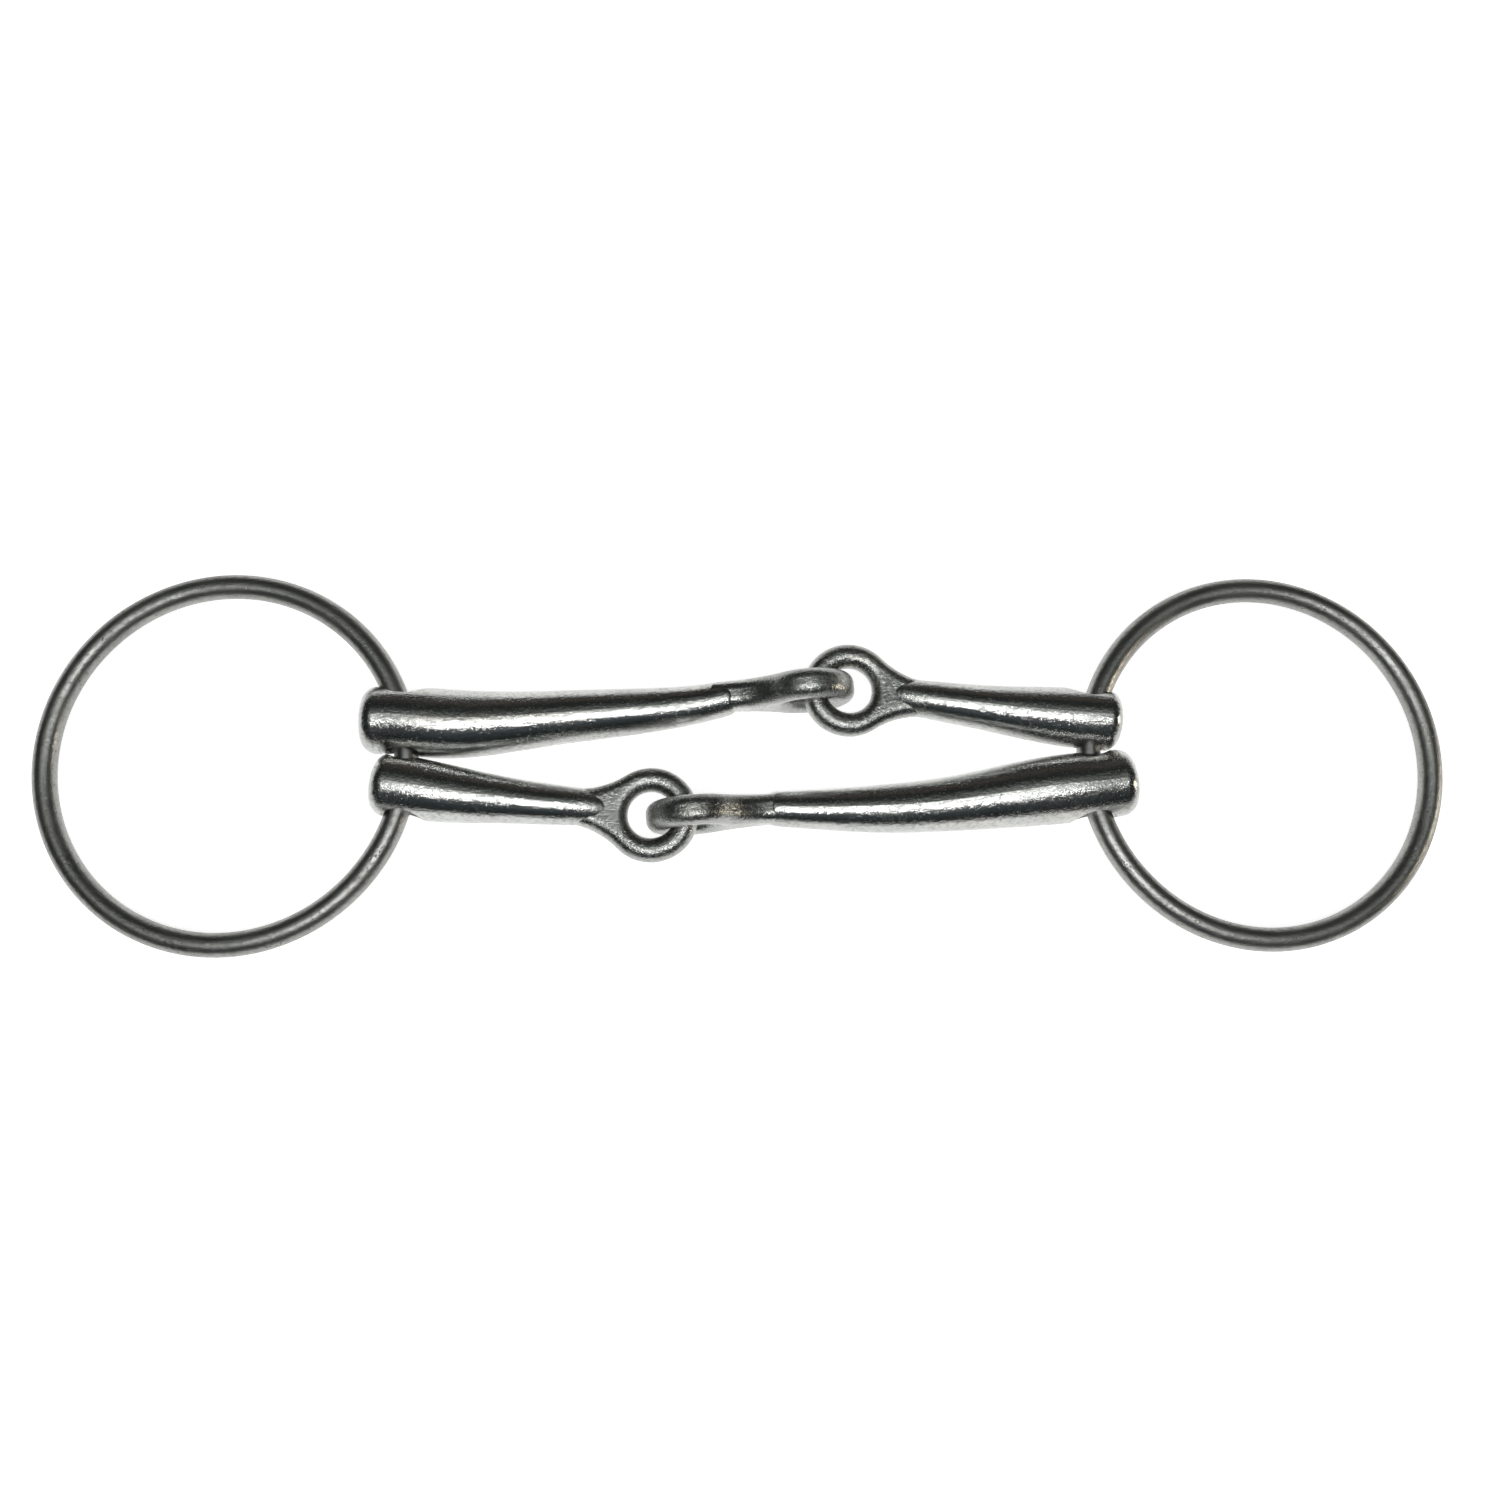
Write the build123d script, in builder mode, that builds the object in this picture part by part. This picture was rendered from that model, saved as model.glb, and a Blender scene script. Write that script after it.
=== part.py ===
"""Double-mouthpiece (W-mouth) loose-ring snaffle bit.

Two jointed mouthpieces lie side by side and share one loose ring at each end.
Each mouthpiece is a long and a short cannon linked eye to eye. The rear one has
its long cannon on the left and the front one has it on the right, so the two
links sit off centre on opposite sides.

The bit lies flat with its length along X and its rear mouthpiece towards +Y.
The origin is at the bottom centre of the whole object.
"""
from build123d import *
import os
from math import asin, cos, sin, sqrt

# Driving dimensions, millimetres
MOUTH_WIDTH = 125.0  # between the ring holes
RING_OUTER_DIAMETER = 70.0
RING_WIRE = 4.4
PASSAGE_CLEARANCE = 0.5  # round the wire in the holes that it runs through
PASSAGE_OVERRUN = 1.0  # of the passage beyond the widest cannon

# Hinge points of the mouthpieces, which have slid a little way along the rings.
# Places along Y are counted from the rings' centres.
REAR_LEFT_HOLE = 7.15  # along Y
REAR_RIGHT_HOLE = 7.65
FRONT_LEFT_HOLE = -4.85
FRONT_RIGHT_HOLE = -4.8
HOLE_HEIGHT = 6.5
LINK_OFFSET = 11.65  # link from the middle of the bit, along X
REAR_LINK = 13.2  # along Y
FRONT_LINK = -11.1
UPRIGHT_EYE_SLIP = 0.7  # of an upright eye in the flat one, towards the other mouthpiece
LINK_HEIGHT = 8.7

# Eyes at the inner ends of the cannons
EYE_WIRE = 4.3  # width of the eye's rim
FLAT_EYE_THICKNESS = 4.6
UPRIGHT_EYE_THICKNESS = 5.4
EYE_RADIUS = 6.35  # middle of the rim
EYE_EDGE_ROUND = 2.05
LINK_PLAY = 0.8  # between the rims of two linked eyes
NECK_TO_EYE = 15.0  # from the end of the round bar to the eye's centre
NECK_INSET = 0.3  # eye's neck inside the round bar
NECK_ROOT = 2.6  # how far the neck reaches into the round bar

# Cannons. The radii are evenly spaced from the end face to the neck. The bow
# is how far the middle of a cannon curves towards +Y, evenly spaced from the
# hole, which it leaves out, to the neck.
LONG_OVERHANG = 7.5  # end face beyond the hole centre
LONG_SHOULDER = 2.6  # rounded end of the round bar beside the eye
LONG_RADII = (6.15, 6.35, 6.0, 5.3, 4.75, 4.3, 3.75, 3.2)
REAR_LONG_BOW = (-1.4, -1.55, -1.45, -1.35, -0.3)
FRONT_LONG_BOW = (-0.5, -1.25, -1.5, -1.0, 0)
SHORT_OVERHANG = 5.3
SHORT_SHOULDER = 9.0
SHORT_RADII = (5.7, 5.55, 5.05, 4.4, 3.9, 3.5)
SHORT_BOW = (-0.25, -0.3, -0.2, 0)
END_ROUND = 2.7  # rounded edge of the end face
CAP_ROOT = 1.0  # how far the rounded ends reach into the bar
CAP_STEP = 0.02  # how much slimmer they are than the bar they end

# Worked out from those
wire_radius = RING_WIRE / 2
ring_radius = (RING_OUTER_DIAMETER - RING_WIRE) / 2
hole_spread = (REAR_LEFT_HOLE + REAR_RIGHT_HOLE - FRONT_LEFT_HOLE - FRONT_RIGHT_HOLE) / 4
ring_reach = sqrt(ring_radius**2 - hole_spread**2)  # ring centre from the hole line
ring_tilt = asin((HOLE_HEIGHT - wire_radius) / (ring_radius + ring_reach))
eye_outer = EYE_RADIUS + EYE_WIRE / 2
eye_hole = EYE_RADIUS - EYE_WIRE / 2
rim_spacing = EYE_WIRE + LINK_PLAY  # rim to rim in a link

os.makedirs("parts", exist_ok=True)


def outward(side):
    """Direction from the hole line to the ring's centre, down to the ground."""
    return Vector(side * cos(ring_tilt), 0, -sin(ring_tilt))


def loose_ring(side):
    """One ring, hung in its holes, with its far edge on the ground."""
    hole_line = Vector(side * MOUTH_WIDTH / 2, 0, HOLE_HEIGHT)
    centre = hole_line + outward(side) * ring_reach
    with BuildPart() as ring:
        with BuildSketch(Plane(origin=centre, x_dir=outward(side), z_dir=(0, 1, 0))):
            with Locations((ring_radius, 0)):
                Circle(wire_radius)
        revolve(axis=Axis(centre, outward(side).cross(Vector(0, side, 0))))
    return ring


def bar_plane(hole, link):
    """Plane with its origin in the ring hole, X towards the link and Z upwards."""
    along = (link - hole).normalized()
    across = Vector(0, 0, 1).cross(along).normalized()
    return Plane(origin=hole, x_dir=along, z_dir=along.cross(across))


def bar_spine(end, neck, bow):
    """Centre line of the round bar, which crosses the hole and then bows out."""
    step = neck / len(bow)
    stations = [((place + 1) * step, offset) for place, offset in enumerate(bow)]
    Spline((end, end * bow[0] / step), (0, 0), *stations)


def end_profile(radius):
    """Half section of the ring end beyond the bar: a flat face with a rounded edge."""
    Line((CAP_ROOT, 0), (CAP_ROOT, radius))
    Line((CAP_ROOT, radius), (0, radius))
    RadiusArc((0, radius), (-END_ROUND, radius - END_ROUND), -END_ROUND)
    Line((-END_ROUND, radius - END_ROUND), (-END_ROUND, 0))
    Line((-END_ROUND, 0), (CAP_ROOT, 0))


def shoulder_profile(radius, length):
    """Half section of the rounded end of the bar, where the eye grows out of it."""
    Line((-CAP_ROOT, 0), (-CAP_ROOT, radius))
    Line((-CAP_ROOT, radius), (0, radius))
    EllipticalCenterArc((0, 0), length, radius, arc_size=90)
    Line((length, 0), (-CAP_ROOT, 0))


def eye_outline(centre, neck, half_width):
    """Teardrop round the eye: its rim, flared into a straight neck."""
    run = centre - neck
    flare = (run**2 + half_width**2 - eye_outer**2) / (2 * (eye_outer - half_width))
    share = eye_outer / (eye_outer + flare)
    meeting = (centre - run * share, (half_width + flare) * share)
    root = neck - NECK_ROOT
    Line((root, half_width), (neck, half_width))
    TangentArc((neck, half_width), meeting, tangent=(1, 0))
    ThreePointArc(meeting, (centre + eye_outer, 0), (meeting[0], -meeting[1]))
    TangentArc((neck, -half_width), (meeting[0], -meeting[1]), tangent=(1, 0))
    Line((neck, -half_width), (root, -half_width))
    Line((root, -half_width), (root, half_width))


def passage_profile():
    """Half section of the hole that a ring runs through, in both its cannons.

    It is the space that the curved wire sweeps when the ring swings about the
    line through the two hole centres, so it is narrowest at those centres and
    opens like a trumpet at the outer mouths.
    """
    grown = ring_radius + wire_radius + PASSAGE_CLEARANCE
    shrunk = ring_radius - wire_radius - PASSAGE_CLEARANCE
    far = REAR_RIGHT_HOLE + max(LONG_RADII) + PASSAGE_OVERRUN
    halfway = (far + hole_spread) / 2
    middle = grown - ring_reach
    throat = sqrt(grown**2 - hole_spread**2) - ring_reach
    flare = ring_reach - sqrt(shrunk**2 - halfway**2)
    mouth = ring_reach - sqrt(shrunk**2 - far**2)
    ThreePointArc((throat, -hole_spread), (middle, 0), (throat, hole_spread))
    ThreePointArc((throat, hole_spread), (flare, halfway), (mouth, far))
    Line((mouth, far), (0, far))
    Line((0, far), (0, -far))
    Line((0, -far), (mouth, -far))
    ThreePointArc((mouth, -far), (flare, -halfway), (throat, -hole_spread))


def link_eye(plane, centre, neck, half_width, thickness):
    """Eye at the inner end of a cannon, with its rim's edges rounded."""
    with BuildPart() as eye:
        with BuildSketch(plane):
            with BuildLine():
                eye_outline(centre, neck, half_width)
            make_face()
            with Locations((centre, 0)):
                Circle(eye_hole, mode=Mode.SUBTRACT)
        extrude(amount=thickness / 2, both=True)
        flat_faces = eye.faces().filter_by(Axis(plane.origin, plane.z_dir))
        fillet(flat_faces.edges(), radius=EYE_EDGE_ROUND)
    return eye.part


def revolved_cap(section):
    """Plane of a cap's half section, with X along the bar."""
    return Plane(section.origin, x_dir=section.z_dir, z_dir=section.x_dir)


def cannon(hole, link, radii, overhang, shoulder, bow, eye_centre, eye_is_upright):
    """One cannon, from its drilled ring end to its eye."""
    flat = bar_plane(hole, link)
    upright = Plane(origin=hole, x_dir=flat.x_dir, z_dir=-flat.y_dir)
    neck = eye_centre - NECK_TO_EYE
    waist = radii[-1]
    hole_line = Vector(hole.X, 0, HOLE_HEIGHT)
    bow_sign = 1 if hole.X < 0 else -1
    if eye_is_upright:
        eye = link_eye(upright, eye_centre, neck, waist - NECK_INSET, UPRIGHT_EYE_THICKNESS)
    else:
        eye = link_eye(flat, eye_centre, neck, waist - NECK_INSET, FLAT_EYE_THICKNESS)

    with BuildLine(flat, mode=Mode.PRIVATE) as spine:
        bar_spine(END_ROUND - overhang, neck, [bow_sign * offset for offset in bow])
    sections = [
        Plane(spine.line @ share, x_dir=flat.z_dir, z_dir=spine.line % share)
        for share in (station / (len(radii) - 1) for station in range(len(radii)))
    ]

    with BuildPart() as body:
        for section, radius in zip(sections, radii):
            with BuildSketch(section):
                Circle(radius)
        loft()
        with BuildSketch(revolved_cap(sections[0])):
            with BuildLine():
                end_profile(radii[0] - CAP_STEP)
            make_face()
        revolve(axis=Axis(sections[0].origin, sections[0].z_dir))
        with BuildSketch(revolved_cap(sections[-1])):
            with BuildLine():
                shoulder_profile(waist - CAP_STEP, shoulder)
            make_face()
        revolve(axis=Axis(sections[-1].origin, sections[-1].z_dir))
        add(eye)

        with BuildSketch(Plane(origin=hole_line)):
            with BuildLine():
                passage_profile()
            make_face()
        revolve(axis=Axis(hole_line, (0, 1, 0)), mode=Mode.SUBTRACT)
    return body


def long_cannon(hole, link, bow):
    """Long cannon, with its eye upright."""
    eye_centre = (link - hole).length - EYE_RADIUS + rim_spacing
    return cannon(hole, link, LONG_RADII, LONG_OVERHANG, LONG_SHOULDER, bow, eye_centre, True)


def short_cannon(hole, link):
    """Short cannon, with its eye flat, running through the long one's eye."""
    eye_centre = (link - hole).length - EYE_RADIUS
    return cannon(hole, link, SHORT_RADII, SHORT_OVERHANG, SHORT_SHOULDER, SHORT_BOW, eye_centre, False)


rear_link = Vector(LINK_OFFSET, REAR_LINK, LINK_HEIGHT)
front_link = Vector(-LINK_OFFSET, FRONT_LINK, LINK_HEIGHT)
slip = Vector(0, UPRIGHT_EYE_SLIP, 0)
rear_left_hole = Vector(-MOUTH_WIDTH / 2, REAR_LEFT_HOLE, HOLE_HEIGHT)
rear_right_hole = Vector(MOUTH_WIDTH / 2, REAR_RIGHT_HOLE, HOLE_HEIGHT)
front_left_hole = Vector(-MOUTH_WIDTH / 2, FRONT_LEFT_HOLE, HOLE_HEIGHT)
front_right_hole = Vector(MOUTH_WIDTH / 2, FRONT_RIGHT_HOLE, HOLE_HEIGHT)

pieces = {
    "left_ring": loose_ring(-1),
    "right_ring": loose_ring(1),
    "rear_long_cannon": long_cannon(rear_left_hole, rear_link - slip, REAR_LONG_BOW),
    "rear_short_cannon": short_cannon(rear_right_hole, rear_link),
    "front_long_cannon": long_cannon(front_right_hole, front_link + slip, FRONT_LONG_BOW),
    "front_short_cannon": short_cannon(front_left_hole, front_link),
}

for name, piece in pieces.items():
    piece.part.label = name
    export_step(piece.part, f"parts/{name}.step")
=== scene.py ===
import bpy
from math import cos, radians, sin
from mathutils import Matrix, Vector


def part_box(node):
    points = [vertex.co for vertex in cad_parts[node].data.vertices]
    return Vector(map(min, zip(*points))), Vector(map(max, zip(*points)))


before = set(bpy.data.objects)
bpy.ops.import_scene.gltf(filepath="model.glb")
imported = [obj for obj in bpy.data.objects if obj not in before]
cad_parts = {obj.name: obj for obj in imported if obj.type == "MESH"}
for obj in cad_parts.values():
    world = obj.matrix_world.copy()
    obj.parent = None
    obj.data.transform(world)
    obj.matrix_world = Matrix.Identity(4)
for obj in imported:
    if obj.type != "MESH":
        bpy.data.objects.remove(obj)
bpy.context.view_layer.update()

MM = 0.001
EYE_SIZE = 17 * MM  # across the outside of an eye
HALF_EYE_THICKNESS = 2.3 * MM  # of the flat eyes, and close enough for the upright ones
SATIN_REACH = 12.5 * MM  # from an eye's middle to the edge of the grainy steel round it
SATIN_RAGGEDNESS = 3 * MM  # how far that edge strays

# Heights of the marks in the steel
RIPPLE_HEIGHT = 0.25 * MM
HAIRLINE_HEIGHT = 0.006 * MM
GRAIN_HEIGHT = 0.12 * MM
PIT_DEPTH = 0.05 * MM


# ---------------------------------------------------------------- node helpers
class Nodes:
    """Short calls for building one material's node tree."""

    def __init__(self, name):
        self.material = bpy.data.materials.new(name)
        self.material.use_nodes = True
        self.tree = self.material.node_tree
        self.tree.nodes.clear()

    def add(self, kind, inputs, output=0, **settings):
        """Adds a node, sets its settings and inputs, and returns one of its outputs."""
        made = self.tree.nodes.new(kind)
        for key, value in settings.items():
            setattr(made, key, value)
        for key, value in inputs.items():
            if isinstance(value, bpy.types.NodeSocket):
                self.tree.links.new(value, made.inputs[key])
            else:
                made.inputs[key].default_value = value
        return made.outputs[output]

    def math(self, operation, a, b=0.0):
        return self.add("ShaderNodeMath", {0: a, 1: b}, operation=operation)

    def vector(self, operation, a, b, output=0):
        return self.add("ShaderNodeVectorMath", {0: a, 1: b}, output, operation=operation)

    def noise(self, coords, scale, detail=4.0, rough=0.5):
        """Noise with one scale for each axis, in features per metre."""
        stretched = self.vector("MULTIPLY", coords, scale)
        return self.add("ShaderNodeTexNoise", {
            "Vector": stretched, "Scale": 1.0, "Detail": detail, "Roughness": rough})

    def remap(self, value, low, high, to_low, to_high):
        """Takes low..high to to_low..to_high with soft ends, held outside them."""
        return self.add("ShaderNodeMapRange", {
            "Value": value, "From Min": low, "From Max": high,
            "To Min": to_low, "To Max": to_high}, interpolation_type="SMOOTHSTEP")

    def mix(self, share, a, b):
        """Mixes two colours. A Mix node's colour sockets are inputs 6 and 7 and output 2."""
        mixed = self.tree.nodes.new("ShaderNodeMix")
        mixed.data_type = "RGBA"
        for socket, value in ((mixed.inputs[0], share), (mixed.inputs[6], a), (mixed.inputs[7], b)):
            if isinstance(value, bpy.types.NodeSocket):
                self.tree.links.new(value, socket)
            else:
                socket.default_value = value
        return mixed.outputs[2]

    def bump(self, height, distance, strength, below=None):
        """A bump on top of the one below, if there is one."""
        inputs = {"Height": height, "Distance": distance, "Strength": strength}
        if below is not None:
            inputs["Normal"] = below
        return self.add("ShaderNodeBump", inputs)

    def surface(self, inputs):
        """Ends the tree with a Principled shader and returns the material."""
        shader = self.add("ShaderNodeBsdfPrincipled", inputs)
        target = self.tree.nodes.new("ShaderNodeOutputMaterial")
        self.tree.links.new(shader, target.inputs["Surface"])
        return self.material


# ------------------------------------------------------------------- materials
STEEL = (0.58, 0.585, 0.57, 1)
STEEL_DULL = (0.40, 0.40, 0.385, 1)
STEEL_WARM = (0.60, 0.545, 0.49, 1)
SATIN_GREY = (0.26, 0.265, 0.25, 1)
SPECK_DARK = (0.24, 0.245, 0.24, 1)
PIT_DARK = (0.10, 0.095, 0.085, 1)
WIRE_DARK = (0.16, 0.155, 0.145, 1)


def steel(name, coords_of, satin_centre=None, polish=0.14, pitting=0.35, tone=1.0):
    """Worn polished steel. It is satin and grainy round satin_centre, if there is one.

    coords_of gives coordinates whose X runs along the bar or round the wire. polish is the
    lowest roughness, more pitting gives more pits, and tone goes from 1 for bright steel
    to 0 for dark wire.
    """
    n = Nodes(name)
    place = n.add("ShaderNodeTexCoord", {}, output="Object")
    lengthwise = coords_of(n, place)

    clouds = n.noise(lengthwise, (70, 160, 160), 5, 0.6)
    hairlines = n.noise(lengthwise, (260, 5200, 5200), 3, 0.6)
    cross_marks = n.noise(n.add("ShaderNodeVectorRotate", {
        "Vector": lengthwise, "Axis": (0, 0, 1), "Angle": radians(57)}), (320, 7000, 7000), 2, 0.5)
    grain = n.noise(place, (1300, 1900, 1900), 3, 0.7)
    ripple = n.noise(lengthwise, (55, 240, 240), 2, 0.4)
    pit_cells = n.add("ShaderNodeTexVoronoi", {
        "Vector": place, "Scale": 1500.0, "Randomness": 1.0})
    pit_places = n.noise(place, (420, 420, 420), 3, 0.6)
    pits = n.math("MULTIPLY",
                  n.remap(pit_cells, 0.12, 0.30, 1.0, 0.0),
                  n.remap(pit_places, 0.62 - 0.2 * pitting, 0.78 - 0.2 * pitting, 0.0, 1.0))
    scratches = n.math("MULTIPLY",
                       n.remap(cross_marks, 0.66, 0.72, 0.0, 1.0),
                       n.remap(clouds, 0.45, 0.60, 0.0, 1.0))

    if satin_centre is None:
        satin = n.remap(clouds, 0.40, 0.75, 0.0, 0.35)
    else:
        away = n.vector("DISTANCE", place, satin_centre, output="Value")
        ragged = n.math("ADD", away, n.remap(clouds, 0.3, 0.7, -SATIN_RAGGEDNESS, SATIN_RAGGEDNESS))
        satin = n.remap(ragged, SATIN_REACH * 0.75, SATIN_REACH * 1.25, 1.0, 0.0)

    roughness = n.math("ADD", n.remap(clouds, 0.35, 0.70, polish, polish + 0.07),
                       n.remap(hairlines, 0.45, 0.75, 0.0, 0.06))
    roughness = n.math("ADD", roughness, n.remap(grain, 0.47, 0.64, 0.0, 0.09))
    roughness = n.math("ADD", roughness, n.math("MULTIPLY", satin, 0.08))
    roughness = n.math("ADD", roughness, n.math("MULTIPLY", pits, 0.25))
    roughness = n.math("ADD", roughness, n.math("MULTIPLY", scratches, 0.12))

    colour = n.mix(n.remap(clouds, 0.30, 0.75, 0.0, 0.55), STEEL, STEEL_DULL)
    colour = n.mix(n.remap(ripple, 0.55, 0.80, 0.0, 0.45), colour, STEEL_WARM)
    colour = n.mix(n.math("MULTIPLY", satin, 0.5), colour, SATIN_GREY)
    colour = n.mix(n.remap(grain, 0.47, 0.64, 0.0, 0.35), colour, SPECK_DARK)
    colour = n.mix(n.math("MULTIPLY", pits, 0.85), colour, PIT_DARK)
    colour = n.mix(1.0 - tone, colour, WIRE_DARK)

    shaped = n.bump(ripple, RIPPLE_HEIGHT, 0.45)
    lined = n.bump(hairlines, HAIRLINE_HEIGHT, 0.55, shaped)
    speckled = n.bump(n.math("MULTIPLY", grain, n.remap(satin, 0.0, 1.0, 0.6, 1.0)),
                      GRAIN_HEIGHT, 1.0, lined)
    worn = n.bump(n.math("ADD", pits, n.math("MULTIPLY", scratches, 0.3)),
                  -PIT_DEPTH, 0.6, speckled)
    return n.surface({"Base Color": colour, "Metallic": 1.0, "Roughness": roughness, "Normal": worn})


def along_bar(n, place):
    """The bars run close enough to X for their marks to follow it."""
    return place


def round_ring(centre):
    """Coordinates that follow a ring's wire: arc length, distance out, height."""
    radius = (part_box("left_ring")[1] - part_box("left_ring")[0]).y / 2

    def coords(n, place):
        offset = n.vector("SUBTRACT", place, centre)
        parts = n.tree.nodes.new("ShaderNodeSeparateXYZ")
        n.tree.links.new(offset, parts.inputs[0])
        turn = n.math("ARCTAN2", parts.outputs[1], parts.outputs[0])
        out = n.vector("LENGTH", offset, (0, 0, 0), output="Value")
        return n.add("ShaderNodeCombineXYZ", {
            0: n.math("MULTIPLY", turn, radius), 1: out, 2: parts.outputs[2]})
    return coords


def dress(node, material):
    """Gives a CAD node its only material."""
    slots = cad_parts[node].data.materials
    slots.clear()
    slots.append(material)


def centre_of(node):
    low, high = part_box(node)
    return (low + high) / 2


def eye_centre(cannon):
    """About the middle of the eye at a cannon's inner end. Long cannons have upright eyes."""
    low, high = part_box(cannon)
    inner_end = high.x if abs(high.x) < abs(low.x) else low.x
    towards_ring = -1 if inner_end > (low.x + high.x) / 2 else 1
    side = 1 if centre_of(cannon).y > 0 else -1
    outer_y = high.y if side > 0 else low.y
    upright = "long" in cannon
    inwards = HALF_EYE_THICKNESS if upright else EYE_SIZE / 2
    down = EYE_SIZE / 2 if upright else HALF_EYE_THICKNESS
    return Vector((inner_end + towards_ring * EYE_SIZE / 2, outer_y - side * inwards, high.z - down))


for ring in ("left_ring", "right_ring"):
    dress(ring, steel(ring + "_steel", round_ring(centre_of(ring)), polish=0.30, pitting=0.75, tone=0.5))

for cannon in ("rear_long_cannon", "rear_short_cannon", "front_long_cannon", "front_short_cannon"):
    dress(cannon, steel(cannon + "_steel", along_bar, satin_centre=eye_centre(cannon)))

# ------------------------------------------------------------------ floor
FLOOR_SIZE = 3.0
FLOOR_WHITE = (0.90, 0.90, 0.90, 1)
FLOOR_GREY = (0.8, 0.8, 0.8, 1)
FLOOR_GLOW = 0.80  # a light table, which leaves almost no shadow

bpy.ops.mesh.primitive_plane_add(size=FLOOR_SIZE)
floor = bpy.context.object
floor.name = "floor"
paper = Nodes("paper_white")
tooth = paper.noise(paper.add("ShaderNodeTexCoord", {}, output="Object"), (900, 900, 900), 3)
floor.data.materials.append(paper.surface({
    "Base Color": paper.mix(paper.remap(tooth, 0.3, 0.7, 0.0, 0.03), FLOOR_WHITE, FLOOR_GREY),
    "Roughness": 0.9, "Specular IOR Level": 0.2,
    "Emission Color": (1, 1, 1, 1), "Emission Strength": FLOOR_GLOW}))

# ------------------------------------------------------------------ lights
ROOM_DARK = (0.020, 0.024, 0.023, 1)

world = bpy.data.worlds.new("dim_room")
bpy.context.scene.world = world
world.use_nodes = True
background = world.node_tree.nodes["Background"]
background.inputs["Color"].default_value = ROOM_DARK
background.inputs["Strength"].default_value = 1.0
bpy.context.scene.view_settings.view_transform = "Standard"


def panel(name, place, size, power, colour=(1, 1, 1), target=(0, 0, 0)):
    """A soft rectangular light, in metres and watts, that faces target."""
    light = bpy.data.lights.new(name, "AREA")
    light.shape = "RECTANGLE"
    light.size, light.size_y = size
    light.energy = power
    light.color = colour
    holder = bpy.data.objects.new(name, light)
    bpy.context.scene.collection.objects.link(holder)
    holder.location = place
    facing = (Vector(target) - Vector(place)).to_track_quat("-Z", "Y")
    holder.rotation_euler = facing.to_matrix().to_euler()


panel("key", (0.0, -0.31, 1.15), (0.80, 0.04), 3.8)
panel("ceiling", (0, -0.10, 1.20), (1.3, 0.30), 1.5, (0.97, 1.0, 0.97))
panel("far_ceiling", (0, 0.30, 1.20), (1.6, 0.40), 0.45, (0.95, 1.0, 0.96))
panel("warm_wall", (0.2, 1.35, 0.60), (1.6, 0.35), 0.15, (1.0, 0.76, 0.66))
panel("cool_wall", (0, -1.0, 0.95), (1.4, 0.6), 0.12, (0.60, 0.80, 1.0))
panel("end_glint", (0.85, -0.05, 0.17), (0.05, 0.16), 0.8, (1.0, 0.90, 0.74), (0.06, 0, 0.006))

# ------------------------------------------------------------------ camera
FOCAL_LENGTH = 40.8  # in mm, on the default 36 mm sensor
DISTANCE = 310.3 * MM
TILT = radians(10.67)
YAW = radians(-2.52)
ROLL = radians(-0.49)
AIM = Vector((0.0, 2.16, 5.0)) * MM  # what the camera looks at

camera_data = bpy.data.cameras.new("camera")
camera = bpy.data.objects.new("camera", camera_data)
bpy.context.scene.collection.objects.link(camera)
bpy.context.scene.camera = camera
camera_data.lens = FOCAL_LENGTH
camera_data.clip_start = 0.01
back = Vector((sin(YAW) * cos(TILT), -sin(TILT), cos(YAW) * cos(TILT)))
right = Vector((0, 1, 0)).cross(back).normalized()
up = back.cross(right)
turned = Matrix((right, up, back)).transposed() @ Matrix.Rotation(ROLL, 3, "Z")
camera.matrix_world = Matrix.Translation(AIM + back * DISTANCE) @ turned.to_4x4()
